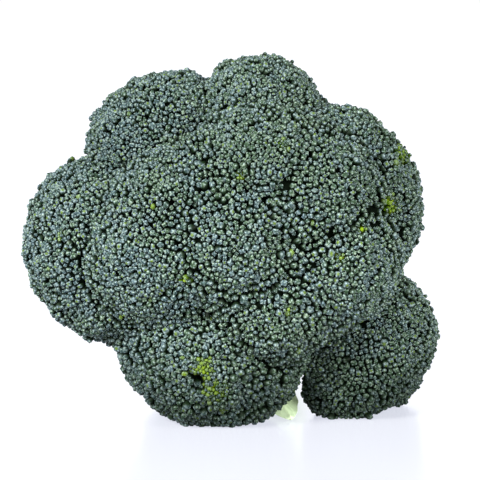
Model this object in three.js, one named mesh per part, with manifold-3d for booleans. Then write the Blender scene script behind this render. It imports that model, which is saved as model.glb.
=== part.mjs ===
// A head of broccoli lying on its side, as cut and trimmed for sale. Millimetres, +Z up.
// The crown of florets faces -Y, and the stalk runs back along +Y and slopes down to its cut end.
// The head rests on the undersides of its lower florets and on the rim of the cut end.
// Each floret is one solid, a group of domes covered in flower buds. The stalk is one solid with
// its branches, branchlets and the stumps of trimmed leaves. One small leaf hangs to the ground.
// The buds are larger than life, so that each is only a few faces.
import * as THREE from "three";
import { ConvexHull } from "three/addons/math/ConvexHull.js";
import { ConvexGeometry } from "three/addons/geometries/ConvexGeometry.js";
import { mergeVertices } from "three/addons/utils/BufferGeometryUtils.js";
import Module from "manifold-3d";

const wasm = await Module();
wasm.setup();

// ---- driving dimensions -------------------------------------------------------------------
const BUD_PITCH = 7.6; // from one bud to the next
const BUD_RELIEF = 2.5; // a bud's top over the groove round it
const BUD_TOP = 0.27; // radius of a bud's flat top, in pitches
const BUD_TOP_SIDES = 3;
const BUD_JITTER = 0.13; // how far a bud strays from its place, in pitches
const BUD_UNEVEN = 0.5; // how much the tops differ in height
const CLUSTER_PITCH = 14; // from one cluster of buds to the next
const CLUSTER_RELIEF = 1.3; // a cluster's middle over its edge
const HIDDEN_PITCH = 13; // spacing of points on faces that no bud covers
const FLORET_GAP = 0.5; // clear space between two florets
const PRESS = 0.5; // past this depth in a neighbour or the ground, buds are pressed flat
const SEAM_OVERLAP = 2; // how far domes of one floret run into each other
const LEAST_REACH = 4; // least distance from a dome's centre to a seam in its own floret
const UNDERSIDE = 0.5; // depth of a dome behind its centre, in radii
const LEAN = 1.2; // how much a dome faces the front of the crown rather than straight out
const SOCKET_GAP = 0.5; // clear space between a dome and the hollow it sits in
const MELT = 4.5; // how softly the domes of one floret run into each other

// The stalk's middle line, from the fork under the crown to the cut end, and its radii there.
const STALK_LINE = [
  [1, 20, 61],
  [3, 44, 50],
  [6, 72, 32.5],
  [9, 99, 15.5],
];
const STALK_RADII = [12, 18.5, 17, 18.5];
const STALK_SIDES = 18;
const STALK_STEPS = 6;
const RIDGES = 5; // blunt ridges along the stalk
const RIDGE_HEIGHT = 0.045; // in radii
const BRANCH_SIDES = 6;
const BRANCHLET_SIDES = 4;
const BRANCHLETS = 3; // that fan out under the first dome of a floret
const BRANCHLET_SHARE = 0.45; // a branchlet's radius, in branch radii
const BRANCHLET_SPREAD = 0.55; // how far out a branchlet enters a dome, in dome radii
const FORWARD_BEND = 0.16; // how far a branch first runs along the stalk, in lengths
const HIDDEN_FORK = 0.1; // branches that leave before this are short and out of sight

// Stumps of trimmed leaves: place along the stalk, degrees round it, radius and length.
const STUMPS = [
  [0.4, 75, 6, 5],
  [0.62, 190, 6.5, 4],
  [0.74, 320, 6, 4],
];

// The leaf's middle line, from the stalk to the tip, and its half width there.
const LEAF_LINE = [
  [12.5, 58, 31],
  [10.5, 43, 20.5],
  [13.5, 18.5, 7.5],
  [18.6, 1.5, 0.6],
];
const LEAF_HALF_WIDTHS = [2, 4.5, 7.8, 0.9];
const LEAF_THICK = 0.9;
const LEAF_CUP = 2.4; // how far its edges curl up
const LEAF_CLEARANCE = 0.5; // from its stem to the stalk

// Florets: the place along the stalk where the branch leaves it (0 at the fork, 1 at the cut
// end), the branch's radius, how softly the floret runs into its neighbours, and the domes as
// x, y, z, radius.
const FLORETS = {
  floret_crown_middle: { fork: 0.0, branch: 6, melt: 4.5, domes: [[-2, -9, 68, 29]] },
  floret_crown_top: { fork: 0.02, branch: 5.5, melt: 4.5, domes: [[7, -6, 92, 26]] },
  floret_crown_upper_left: { fork: 0.04, branch: 5.5, melt: 4.5, domes: [[-22, -7, 79, 24]] },
  floret_crown_left: { fork: 0.08, branch: 6, melt: 4.5, domes: [[-29, -4, 62, 28.5]] },
  floret_crown_low: { fork: 0.04, branch: 5, melt: 4.5, domes: [[11.5, -8, 45.5, 23]] },
  floret_crown_right: { fork: 0.08, branch: 6, melt: 4.5, domes: [[32.5, -2, 58, 25.5]] },
  floret_crown_upper_right: { fork: 0.04, branch: 5.5, melt: 4.5, domes: [[27, -6, 84, 24]] },
  floret_top: { fork: 0.18, branch: 6, melt: 3.5, domes: [[6.7, 11, 110, 24.3]] },
  floret_upper_left: {
    fork: 0.2,
    branch: 6.5,
    melt: 1.2,
    domes: [[-33.7, 13, 98.9, 23], [-22.8, 15, 104.1, 23.5]],
  },
  floret_left: {
    fork: 0.24,
    branch: 7,
    melt: 3,
    domes: [[-51.2, 9, 71.7, 25.3], [-53.6, 10, 60.4, 24.2], [-46.2, 9, 49.8, 22.4]],
  },
  floret_upper_right: {
    fork: 0.2,
    branch: 6.5,
    melt: 4,
    domes: [[34.8, 9, 94.5, 20.8], [43.6, 11, 81.9, 21.7], [46.4, 13, 72, 19.1]],
  },
  floret_lower_right: {
    fork: 0.26,
    branch: 6.5,
    melt: 0.8,
    domes: [
      [52.3, 17, 29, 20.9],
      [41.2, 16, 18.2, 19.2],
      [50.3, 22, 36.9, 16.2],
      [37.6, 11.5, 10.4, 11.6],
    ],
  },
  floret_low: {
    fork: 0.22,
    branch: 7.5,
    melt: 3.3,
    domes: [
      [-11.5, 0.5, 25.2, 27.7],
      [-26, 7, 28.2, 18.8],
      [7, 4, 24.4, 17.8],
      [-2.5, 3, 13.5, 15],
    ],
  },
  floret_rear_right: { fork: 0.5, branch: 5, melt: 0.8, domes: [[54.5, 35, 14, 16.5]] },
  floret_rear_left: { fork: 0.42, branch: 5, melt: 0.8, domes: [[-22, 38, 15.5, 17]] },
};

const BUD_FINISH = { color: 0x44604f, roughness: 0.75, metalness: 0 };
const STALK_FINISH = { color: 0xa9b97c, roughness: 0.5, metalness: 0 };
const LEAF_FINISH = { color: 0x9bad84, roughness: 0.55, metalness: 0 };

// ---- small tools --------------------------------------------------------------------------
const TURN = 2 * Math.PI;
const GOLDEN_ANGLE = Math.PI * (3 - Math.sqrt(5));
const GROUND = new THREE.Vector3(0, 0, -1);
const FRONT = new THREE.Vector3(0, -1, 0);
const vec = ([x, y, z]) => new THREE.Vector3(x, y, z);

// A repeatable number from 0 to 1 for a whole number and a seed.
function chance(n, seed) {
  const s = Math.sin(n * 12.9898 + seed * 78.233) * 43758.5453;
  return s - Math.floor(s);
}

// Unit directions spread evenly over a sphere at a pitch, each strayed by up to jitter pitches.
function directions(radius, pitch, jitter, seed) {
  const count = Math.round((2 * TURN * radius * radius) / (0.866 * pitch * pitch));
  const stray = (i, k) => ((chance(i, seed + k) - 0.5) * 2 * jitter * pitch) / radius;
  const found = [];
  for (let i = 0; i < count; i++) {
    const z = 1 - (2 * i + 1) / count;
    const ring = Math.sqrt(1 - z * z);
    const a = i * GOLDEN_ANGLE + seed;
    const d = new THREE.Vector3(ring * Math.cos(a), ring * Math.sin(a), z);
    d.add(new THREE.Vector3(stray(i, 1), stray(i, 2), stray(i, 3)));
    found.push(d.normalize());
  }
  return found;
}

// The faces of the convex hull of some points, as triples of their indices.
function hullFaces(points) {
  const number = new Map(points.map((p, i) => [p, i]));
  return new ConvexHull().setFromPoints(points).faces.map((face) => {
    const corners = [];
    let edge = face.edge;
    do {
      corners.push(number.get(edge.head().point));
      edge = edge.next;
    } while (edge !== face.edge);
    return corners;
  });
}

function indexedGeometry(points, triangles) {
  const geometry = new THREE.BufferGeometry().setFromPoints(points);
  return geometry.setIndex(triangles.flat());
}

// A closed three.js geometry as a manifold-3d solid.
function solidOf(geometry) {
  for (const name of Object.keys(geometry.attributes))
    if (name !== "position") geometry.deleteAttribute(name);
  const merged = mergeVertices(geometry, 1e-4);
  return new wasm.Manifold(
    new wasm.Mesh({
      numProp: 3,
      vertProperties: merged.attributes.position.array,
      triVerts: new Uint32Array(merged.index.array),
    }),
  );
}

// A named mesh, flat shaded, of the largest body of a manifold-3d solid.
function meshOf(name, solid, finish) {
  const body = solid.decompose().sort((a, b) => b.volume() - a.volume())[0];
  const { numProp, numVert, vertProperties, triVerts } = body.getMesh();
  const positions = new Float32Array(numVert * 3);
  for (let i = 0; i < numVert; i++)
    positions.set(vertProperties.subarray(i * numProp, i * numProp + 3), i * 3);
  const indexed = new THREE.BufferGeometry();
  indexed.setAttribute("position", new THREE.BufferAttribute(positions, 3));
  indexed.setIndex(new THREE.BufferAttribute(new Uint32Array(triVerts), 1));
  const geometry = indexed.toNonIndexed();
  geometry.computeVertexNormals();
  const mesh = new THREE.Mesh(geometry, new THREE.MeshStandardMaterial(finish));
  mesh.name = name;
  return mesh;
}

// ---- florets ------------------------------------------------------------------------------
const stalkCurve = new THREE.CatmullRomCurve3(STALK_LINE.map(vec));

const domes = [];
for (const [name, floret] of Object.entries(FLORETS)) {
  floret.root = stalkCurve.getPointAt(floret.fork);
  floret.parts = floret.domes.map(([x, y, z, r]) => {
    const centre = new THREE.Vector3(x, y, z);
    const axis = centre.clone().sub(floret.root).normalize();
    axis.addScaledVector(FRONT, LEAN).normalize();
    const dome = { floret: name, melt: floret.melt, centre, r, axis, seed: domes.length + 1 };
    domes.push(dome);
    return dome;
  });
}

// The planes that bound a dome, each a unit normal and its reach from the centre. The first two
// are the underside and the ground. A dome of another floret stops it half a gap short of the
// seam where their spheres meet, and a dome of its own floret lets it run on a little.
function boundsOf(dome) {
  const planes = [
    { normal: dome.axis.clone().negate(), reach: UNDERSIDE * dome.r, seam: Infinity },
    { normal: GROUND, reach: dome.centre.z, seam: Infinity },
  ];
  for (const other of domes) {
    if (other === dome) continue;
    const normal = other.centre.clone().sub(dome.centre);
    const d = normal.length();
    const seam = (d * d + dome.r * dome.r - other.r * other.r) / (2 * d);
    if (seam > dome.r * 1.1) continue;
    const own = other.floret === dome.floret;
    const reach = own ? Math.max(seam + SEAM_OVERLAP, LEAST_REACH) : seam - FLORET_GAP / 2;
    planes.push({ normal: normal.divideScalar(d), reach, seam });
  }
  return planes;
}

// How far a dome's surface rises over its sphere near the domes it grows against: the sum of
// m ln(1 + exp(-gap / m)), where gap is the way from the sphere to the other dome's sphere.
function swell(dome, d) {
  let rise = 0;
  for (const other of domes) {
    if (other === dome) continue;
    const own = other.floret === dome.floret;
    const m = own ? MELT : Math.min(dome.melt, other.melt);
    const p = d.clone().multiplyScalar(dome.r).add(dome.centre);
    const gap = Math.max(0, p.distanceTo(other.centre) - other.r);
    rise += m * Math.log(1 + Math.exp(-gap / m));
  }
  return rise;
}

// How far a dome's surface drops, towards the edges of its clusters of buds.
function clusterDrop(dome, d) {
  const nearest = Math.max(...dome.clusters.map((c) => c.dot(d)));
  const away = (Math.acos(Math.min(1, nearest)) * dome.r) / (CLUSTER_PITCH / 2);
  return CLUSTER_RELIEF * Math.min(1.3, away * away);
}

// The closed solid of a dome, with a flat top for each bud and a groove round it.
function domeSolid(dome) {
  const planes = boundsOf(dome);
  dome.clusters = directions(dome.r, CLUSTER_PITCH, 0.2, dome.seed * 3.1);
  const isOpen = (d) =>
    d.dot(dome.axis) > -UNDERSIDE &&
    planes.every((p) => d.dot(p.normal) * (dome.r + swell(dome, d)) < p.seam + 0.4 * BUD_PITCH);
  const buds = directions(dome.r, BUD_PITCH, BUD_JITTER, dome.seed).filter(isOpen);
  const near = Math.cos((0.95 * BUD_PITCH) / dome.r);
  const isHidden = (d) => !isOpen(d) && buds.every((b) => b.dot(d) < near);
  const hidden = directions(dome.r, HIDDEN_PITCH, 0, dome.seed + 0.5).filter(isHidden);
  const spots = [...buds, ...hidden];
  const isBud = (v) => v < buds.length;

  const points = [];
  const place = (d, drop) => {
    const skin = dome.r + swell(dome, d) - clusterDrop(dome, d);
    const limit = Math.min(
      ...planes.map((p) => (d.dot(p.normal) > 1e-6 ? p.reach / d.dot(p.normal) : Infinity)),
    );
    const r = skin > limit + PRESS ? limit : Math.min(skin - drop, limit);
    return points.push(d.clone().multiplyScalar(r).add(dome.centre)) - 1;
  };

  // The hull of the spots says which are neighbours. Each of its faces that has a bud at a
  // corner gets a point in the groove between the three.
  const faces = hullFaces(spots);
  const plain = spots.map((d, v) => (isBud(v) ? -1 : place(d, BUD_RELIEF)));
  const grooves = faces.map((face) => {
    if (!face.some(isBud)) return -1;
    const [a, b, c] = face.map((v) => spots[v]);
    return place(a.clone().add(b).add(c).normalize(), BUD_RELIEF);
  });
  const faceAt = new Map();
  faces.forEach((face, n) =>
    face.forEach((a, k) => faceAt.set(`${a},${face[(k + 1) % 3]}`, n)),
  );

  const triangles = [];
  const rings = buds.map(() => []);
  faces.forEach((face, n) => {
    if (grooves[n] < 0) {
      triangles.push(face.map((v) => plain[v]));
      return;
    }
    face.forEach((a, k) => {
      const b = face[(k + 1) % 3];
      const beyond = grooves[faceAt.get(`${b},${a}`)];
      if (isBud(a)) rings[a].push(grooves[n]);
      else triangles.push([plain[a], beyond < 0 ? plain[b] : beyond, grooves[n]]);
    });
  });
  buds.forEach((d, i) => {
    const across = new THREE.Vector3(0.31, 0.55, 0.77).cross(d).normalize();
    const up = d.clone().cross(across);
    const height = BUD_UNEVEN * chance(i, dome.seed + 9);
    const wide = (BUD_TOP * BUD_PITCH) / dome.r;
    const top = [];
    for (let k = 0; k < BUD_TOP_SIDES; k++) {
      const a = (TURN * (k + chance(i, dome.seed))) / BUD_TOP_SIDES;
      const rim = d.clone().addScaledVector(across, wide * Math.cos(a));
      top.push(place(rim.addScaledVector(up, wide * Math.sin(a)).normalize(), height));
    }
    for (let k = 1; k < BUD_TOP_SIDES - 1; k++) triangles.push([top[0], top[k], top[k + 1]]);
    const angleOf = (v) => {
      const out = points[v].clone().sub(dome.centre);
      return Math.atan2(out.dot(up), out.dot(across));
    };
    triangles.push(...belt(top, rings[i], angleOf));
  });

  const socket = points.map((p) => {
    const out = p.clone().sub(dome.centre);
    return out.setLength(out.length() + SOCKET_GAP).add(dome.centre);
  });
  dome.socket = solidOf(new ConvexGeometry(socket));
  return solidOf(indexedGeometry(points, triangles));
}

// The triangles between a small ring of points and a larger one round it.
function belt(inner, outer, angleOf) {
  const byAngle = (p, q) => angleOf(p) - angleOf(q);
  const a = inner.slice().sort(byAngle);
  const b = outer.slice().sort(byAngle);
  const angleIn = (ring, i) => angleOf(ring[i % ring.length]) + TURN * Math.floor(i / ring.length);
  const triangles = [];
  let i = 0;
  let j = 0;
  while (i < a.length || j < b.length) {
    const p = a[i % a.length];
    const q = b[j % b.length];
    const inside = j === b.length || (i < a.length && angleIn(a, i + 1) < angleIn(b, j + 1));
    triangles.push([p, q, inside ? a[++i % a.length] : b[++j % b.length]]);
  }
  return triangles;
}

// ---- stalk --------------------------------------------------------------------------------
// A cylinder bent along a smooth line, with its radius set at even steps, and ridges if asked.
function limb(line, radii, sides, steps, ridge = 0) {
  const curve = new THREE.CatmullRomCurve3(line);
  const { normals, binormals } = curve.computeFrenetFrames(steps, false);
  const geometry = new THREE.CylinderGeometry(1, 1, 1, sides, steps);
  const at = geometry.attributes.position;
  for (let v = 0; v < at.count; v++) {
    const u = 0.5 - at.getY(v);
    const i = Math.round(u * steps);
    const from = Math.min(Math.floor(u * (radii.length - 1)), radii.length - 2);
    const r = THREE.MathUtils.lerp(radii[from], radii[from + 1], u * (radii.length - 1) - from);
    const out = r * (1 + ridge * Math.cos(RIDGES * Math.atan2(at.getZ(v), at.getX(v))));
    const p = curve.getPointAt(u);
    p.addScaledVector(normals[i], out * at.getX(v));
    p.addScaledVector(binormals[i], out * at.getZ(v));
    at.setXYZ(v, p.x, p.y, p.z);
  }
  return solidOf(geometry);
}

const trunk = (grow) =>
  limb(
    STALK_LINE.map(vec),
    STALK_RADII.map((r) => r + grow),
    STALK_SIDES,
    STALK_STEPS,
    RIDGE_HEIGHT,
  );

// The line of the branch that carries a dome: it starts forward, then bends to the dome.
function branchLine(from, dome, ahead) {
  const end = dome.centre.clone().addScaledVector(dome.axis, -0.3 * dome.r);
  const bend = FORWARD_BEND * end.distanceTo(from);
  return [from, from.clone().lerp(end, 0.5).addScaledVector(ahead, bend), end];
}

const branch = (line, radius) =>
  limb(line, [radius * 1.15, radius, radius * 0.8], BRANCH_SIDES, 2);

// Thin limbs that fan out from a point into the underside of a dome.
function branchlets(from, dome, radius) {
  const across = new THREE.Vector3(0, 0, 1).cross(dome.axis).normalize();
  const up = dome.axis.clone().cross(across);
  const spread = BRANCHLET_SPREAD * dome.r;
  const solids = [];
  for (let k = 0; k < BRANCHLETS; k++) {
    const a = (TURN * k) / BRANCHLETS + dome.seed;
    const end = dome.centre.clone().addScaledVector(dome.axis, -0.25 * dome.r);
    end.addScaledVector(across, spread * Math.cos(a));
    end.addScaledVector(up, spread * Math.sin(a));
    solids.push(limb([from, end], [radius, radius * 0.8], BRANCHLET_SIDES, 1));
  }
  return solids;
}

function stump([place, degrees, radius, length]) {
  const from = stalkCurve.getPointAt(place);
  const along = stalkCurve.getTangentAt(place);
  const out = new THREE.Vector3(0, 0, 1).projectOnPlane(along).normalize();
  out.applyAxisAngle(along, THREE.MathUtils.degToRad(degrees));
  const end = from.clone().addScaledVector(out, STALK_RADII[2] + length);
  end.addScaledVector(along, -length);
  return limb([from, end], [radius * 1.5, radius], 8, 1);
}

function stalkSolid() {
  const pieces = [trunk(0), ...STUMPS.map(stump)];
  for (const floret of Object.values(FLORETS)) {
    const [first, ...others] = floret.parts;
    const ahead = stalkCurve.getTangentAt(floret.fork).negate();
    const line = branchLine(floret.root, first, ahead);
    const split = new THREE.CatmullRomCurve3(line).getPointAt(0.55);
    pieces.push(branch(line, floret.branch));
    if (floret.fork > HIDDEN_FORK)
      pieces.push(...branchlets(split, first, floret.branch * BRANCHLET_SHARE));
    for (const dome of others)
      pieces.push(branch(branchLine(split, dome, dome.axis), floret.branch * 0.6));
  }
  const whole = wasm.Manifold.union(pieces).trimByPlane([0, 0, 1], 0);
  return whole.subtract(wasm.Manifold.union(domes.map((dome) => dome.socket)));
}

// ---- leaf ---------------------------------------------------------------------------------
// A box bent into a cupped blade, narrow at its stem and pointed at its tip.
function leafSolid() {
  const line = new THREE.CatmullRomCurve3(LEAF_LINE.map(vec));
  const widths = new THREE.SplineCurve(LEAF_HALF_WIDTHS.map((w, i) => new THREE.Vector2(i, w)));
  const geometry = new THREE.BoxGeometry(2, LEAF_THICK, 1, 6, 1, 12);
  const at = geometry.attributes.position;
  for (let n = 0; n < at.count; n++) {
    const side = at.getX(n);
    const u = 0.5 - at.getZ(n);
    const along = line.getTangent(u);
    const across = new THREE.Vector3(1, 0, 0).projectOnPlane(along).normalize();
    const normal = across.clone().cross(along);
    const lift = at.getY(n) + LEAF_CUP * side * side * Math.sin(Math.PI * u);
    const p = line.getPoint(u).addScaledVector(across, side * widths.getPoint(u).y);
    p.addScaledVector(normal, lift);
    at.setXYZ(n, p.x, p.y, p.z);
  }
  return solidOf(geometry).subtract(trunk(LEAF_CLEARANCE));
}

// ---- the head -----------------------------------------------------------------------------
const group = new THREE.Group();
for (const [name, floret] of Object.entries(FLORETS)) {
  const solid = wasm.Manifold.union(floret.parts.map(domeSolid));
  group.add(meshOf(name, solid, BUD_FINISH));
}
group.add(meshOf("stalk", stalkSolid(), STALK_FINISH));
group.add(meshOf("leaf", leafSolid(), LEAF_FINISH));

// The origin is on the ground, under the middle of the head's outline.
const box = new THREE.Box3().setFromObject(group);
const middle = box.getCenter(new THREE.Vector3());
for (const mesh of group.children) mesh.geometry.translate(-middle.x, -middle.y, -box.min.z);

export default group;
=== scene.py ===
"""A head of broccoli lying on its side: florets of fine buds, a branching stalk and one small leaf.

The crown faces -Y and the stalk runs back along +Y. Shapes are worked out in millimetres and
written to their meshes in metres.
"""
import math
from collections import namedtuple

import bpy
import numpy as np
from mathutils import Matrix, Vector


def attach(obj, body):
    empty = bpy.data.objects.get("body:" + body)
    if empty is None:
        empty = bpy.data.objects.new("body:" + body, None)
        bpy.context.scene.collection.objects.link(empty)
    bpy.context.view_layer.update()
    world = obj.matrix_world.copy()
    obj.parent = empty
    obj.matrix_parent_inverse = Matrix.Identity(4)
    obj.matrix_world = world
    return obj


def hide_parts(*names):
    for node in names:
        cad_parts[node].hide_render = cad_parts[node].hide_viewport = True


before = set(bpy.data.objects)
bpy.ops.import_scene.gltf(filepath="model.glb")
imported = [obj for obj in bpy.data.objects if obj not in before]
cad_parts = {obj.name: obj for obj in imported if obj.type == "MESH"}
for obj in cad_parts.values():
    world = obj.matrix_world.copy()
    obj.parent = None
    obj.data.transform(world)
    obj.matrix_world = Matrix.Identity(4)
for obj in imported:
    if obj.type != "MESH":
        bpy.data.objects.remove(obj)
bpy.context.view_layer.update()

MM = 0.001
TURN = 2 * math.pi
GOLDEN_ANGLE = math.pi * (3 - math.sqrt(5))

# ---- the crown's form, as in the CAD part -------------------------------------------------
CROWN_TO_FRAME = np.array([2.7804, -35.5071, 0.0])
HEXAGON = 0.866  # area round each point of an even spread, in squares of its pitch
CLUSTER_PITCH = 14.0  # from one cluster of bunches to the next
CLUSTER_STRAY = 0.2  # of a cluster from its even place, in pitches
CLUSTER_RELIEF = 1.3  # a cluster's middle over its edge
CLUSTER_LOWEST = 1.3  # where the drop past that edge ends, in reliefs
GROUP_PITCH = 7.6  # from one bunch of buds to the next
GROUP_STRAY = 0.13
GROUP_RELIEF = 0.8
GROUP_LOWEST = 1.2
FLORET_GAP = 0.5  # between the flesh of two florets
SEAM_OVERLAP = 2.0  # of two domes of one floret
LEAST_REACH = 4.0  # of a dome towards another of its floret
FAR_SEAM = 1.1  # in radii: domes whose seam is farther off don't bound each other
UNDERSIDE = 0.5  # depth of a dome behind its centre, in radii
LEAN = 1.2  # of a dome's axis to the front, beside 1 out from its branch
ROOT_DEPTH = 0.3  # how far behind a dome's centre its branch ends, in radii
HIDDEN_FORK = 0.1  # florets that fork off before this share of the stalk hide their stems
FORWARD_BEND = 0.16  # of a branch, as a share of its length

STALK_LINE = [(1, 20, 61), (3, 44, 50), (6, 72, 32.5), (9, 99, 15.5)]
STALK_RADII = [12, 18.5, 17, 18.5]
RIDGES = 5  # along the stalk
RIDGE_HEIGHT = 0.045  # in radii
# The radii of each kind of limb from its root to its end, as shares of its nominal one.
BRANCH_TAPER = np.array([1.3, 1.0, 0.8])
BRANCHLET_TAPER = np.array([0.75, 0.6, 0.5])
STUMP_TAPER = np.array([1.6, 1.25, 1.05])
SPLIT = 0.55  # the share of a branch at which the branchlets leave it
# Each stump: its share of the stalk, degrees round it, radius and height over the skin.
STUMPS = [(0.4, 75, 6, 5), (0.62, 190, 6.5, 4), (0.74, 320, 6, 4)]

LEAF_LINE = [(12.5, 58, 31), (10.5, 43, 20.5), (13.5, 18.5, 7.5), (18.6, 1.5, 0.6)]
LEAF_HALF_WIDTHS = [2, 4.5, 7.8, 0.9]
LEAF_THICK = 0.9
LEAF_CUP = 2.4  # how far its edges curl over its middle

# Each floret: the share of the stalk at which its branch leaves, the branch's radius, how softly
# it runs into its neighbours, the width of its buds, and its domes as x, y, z, radius.
Floret = namedtuple("Floret", "fork branch melt bud_width domes")
FLORETS = {
    "floret_crown_middle": Floret(0.0, 6, 4.5, 2.2, [(-2, -9, 68, 29)]),
    "floret_crown_top": Floret(0.02, 5.5, 4.5, 2.05, [(7, -6, 92, 26)]),
    "floret_crown_upper_left": Floret(0.04, 5.5, 4.5, 2.0, [(-22, -7, 79, 24)]),
    "floret_crown_left": Floret(0.08, 6, 4.5, 2.05, [(-29, -4, 62, 28.5)]),
    "floret_crown_low": Floret(0.04, 5, 4.5, 2.25, [(11.5, -8, 45.5, 23)]),
    "floret_crown_right": Floret(0.08, 6, 4.5, 2.15, [(32.5, -2, 58, 25.5)]),
    "floret_crown_upper_right": Floret(0.04, 5.5, 4.5, 2.05, [(27, -6, 84, 24)]),
    "floret_top": Floret(0.18, 6, 3.5, 1.95, [(6.7, 11, 110, 24.3)]),
    "floret_upper_left": Floret(
        0.2, 6.5, 1.2, 1.95, [(-33.7, 13, 98.9, 23), (-22.8, 15, 104.1, 23.5)]
    ),
    "floret_left": Floret(
        0.24, 7, 3, 2.0, [(-51.2, 9, 71.7, 25.3), (-53.6, 10, 60.4, 24.2), (-46.2, 9, 49.8, 22.4)]
    ),
    "floret_upper_right": Floret(
        0.2, 6.5, 4, 2.05, [(34.8, 9, 94.5, 20.8), (43.6, 11, 81.9, 21.7), (46.4, 13, 72, 19.1)]
    ),
    "floret_lower_right": Floret(
        0.26, 6.5, 0.8, 2.05,
        [
            (52.3, 17, 29, 20.9), (41.2, 16, 18.2, 19.2), (50.3, 22, 36.9, 16.2),
            (37.6, 11.5, 10.4, 11.6),
        ],
    ),
    "floret_low": Floret(
        0.22, 7.5, 3.3, 2.4,
        [(-11.5, 0.5, 25.2, 27.7), (-26, 7, 28.2, 18.8), (7, 4, 24.4, 17.8), (-2.5, 3, 13.5, 15)],
    ),
    "floret_rear_right": Floret(0.5, 5, 0.8, 2.1, [(54.5, 35, 14, 16.5)]),
    "floret_rear_left": Floret(0.42, 5, 0.8, 2.1, [(-22, 38, 15.5, 17)]),
}

# ---- the finer forms ----------------------------------------------------------------------
MELT = 4.5  # how softly the domes of one floret run into each other
CREASE_DROP = 1.2  # extra depth along a seam between two florets
CREASE_WIDTH = 2.2

BUD_PITCH = 0.985  # from one bud to the next, in bud widths, before they settle
BUD_STRAY = 0.34
BUD_SPREAD = 0.3  # how much the buds differ in width
BUD_CROWDING = 0.98  # least distance between two buds, in their mean widths
SETTLE_SPARE = 3.0  # how far past its open skin a dome's buds are placed before they settle
SETTLE_ROUNDS = 20
SETTLE_EASE = 0.8  # the share of each push that is taken
OWN_SEAM_SPARE = 0.9  # how far past a seam inside a floret its buds may stand
OTHER_SEAM_SPARE = 0.35  # the same at a seam with another floret
RIM_SPARE = 0.02  # how far past the rim of a dome buds may stand, in radii
BRACT_SHARE = 0.015  # of the buds
BRACT_WIDTH = 1.35  # a bract beside a bud
BRACT_HEIGHT = 0.6
BUD_GIRTH = 1.09  # a bud's width, over the width that is kept clear for it
BUD_HEIGHTS = (0.95, 1.2)  # its least and most, over that width
BUD_PROUD = 0.7  # a bud's tip over the dome's sphere, before the drops
BUD_UNEVEN = 1.1  # how much lower some tips are
STICK_OUT = 0.8  # of a few buds over the rest
STICK_OUT_SHARE = 0.07
BUD_CLEARANCE = 0.35  # of a bud over the ground, in bud heights
SPLAY = 1.3  # how far buds lean away from the middle of their bunch
BUD_TILT = 0.24  # how far they lean at random
FRINGE = (0.1, 0.5)  # how far behind a dome's middle the bloom starts and ends fading, in radii
LEAST_LIME = 0.4  # how lime the dullest lime bud is

BUD_SIDES = 8
SEPALS = 4
# The rings of a bud, as radius in bud widths and height in bud heights.
BUD_RINGS = np.array([(0.38, -0.3), (0.465, 0.08), (0.32, 0.43)])
RING_LEVELS = [0.2, 0.65, 0.92]  # how far up the bud each is, from its foot at 0 to its tip at 1
BUD_SEPALS = np.array([0.04, 0.05, 0.1])  # how far the sepals stand out, as shares of each ring
SEPAL_RISE = 0.05  # how far their tips stand over the creases between them, in bud heights
BUD_WOBBLE = 0.09  # of each point from its ring, in radii
RING_WOBBLE = 0.04  # of each point along the bud, in bud heights
BUD_STRETCH = 0.2  # how far from round a bud may be
BUD_TIP = 0.54  # its height over the bud's place, in bud heights
BUD_FOOT = -1.5

FLESH_DEPTH = 2.6  # under the tips of the buds
FLESH_CLEARANCE = 0.1  # over the ground
FLESH_ROWS, FLESH_COLUMNS = 30, 56
RIBS = [(0.5, 5.5), (0.3, 12.5)]  # under a floret: height, and half the number round its axis
PEDICELS = 11  # thin stems under each dome of an outer floret
PEDICEL_RADII = 1.7 * np.array([1.3, 1.0, 1.1])  # from the root to the end
PEDICEL_SPREAD = 0.74  # how far out the last one enters the dome, in dome radii
PEDICEL_BEND = 0.12  # as a share of its length
PEDICEL_STRAY = 0.4  # of that bend to any side
STALK_CUBE = 0.95  # of the grid that the stalk's tubes are melted together in
STALK_SMOOTHING = 4  # rounds
STALK_SEED = 5
GRAIN_SHRINK = 0.93  # of the grain along a limb
CUT_SPARE = 3.0  # extra length that the knife takes off flat
CUT_EDGE = (-0.9, 0.1)  # where skin turns to cut face, past the stalk's end
CUT_DISH = 0.5  # how far the middle of the cut has sunk
YOUNG_SKIN_REACH = (6, 26)  # how far from a floret the skin is all young, and not at all

LEAF_ROWS, LEAF_COLUMNS = 60, 64
MIDRIB_WIDTH = 0.55
SIDE_VEINS = 7.5  # pairs
VEIN_SLANT = 1.6  # how far along the leaf a side vein ends, in their spacing
VEIN_WIDTH = 0.09  # in their spacing
VEIN_STRENGTH = 0.7  # of a side vein beside the midrib
VEIN_ROOM = 3.5  # the least half width of the leaf with side veins
VEIN_RISE = 0.35  # on the leaf's underside
VEIN_GROOVE = 0.12  # on its upper side
EDGE_THINNING = 0.6
LEAF_FRILL = 0.7
FRILL_WAVES = 23  # radians along the leaf
RAGGED_EDGE = 0.04  # in half widths
RAGGED_WAVES = 41

# Hollows in the front of the crown, as x, z, radius and depth.
HOLLOWS = [
    (-15.4, 18.6, 2.5, 6.0),
    (-23.6, 82.5, 2.0, 3.8),
    (31.5, 72.0, 2.0, 4.2),
    (15.5, 89.7, 1.8, 3.2),
    (35.0, 94.4, 1.8, 3.2),
    (47.8, 79.2, 2.0, 3.4),
    (5.5, 51.5, 3.2, 2.8),
    (18.9, 54.7, 2.0, 2.8),
]
BARE_DEPTH = 2.7  # deeper than this, a hollow has no buds
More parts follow.
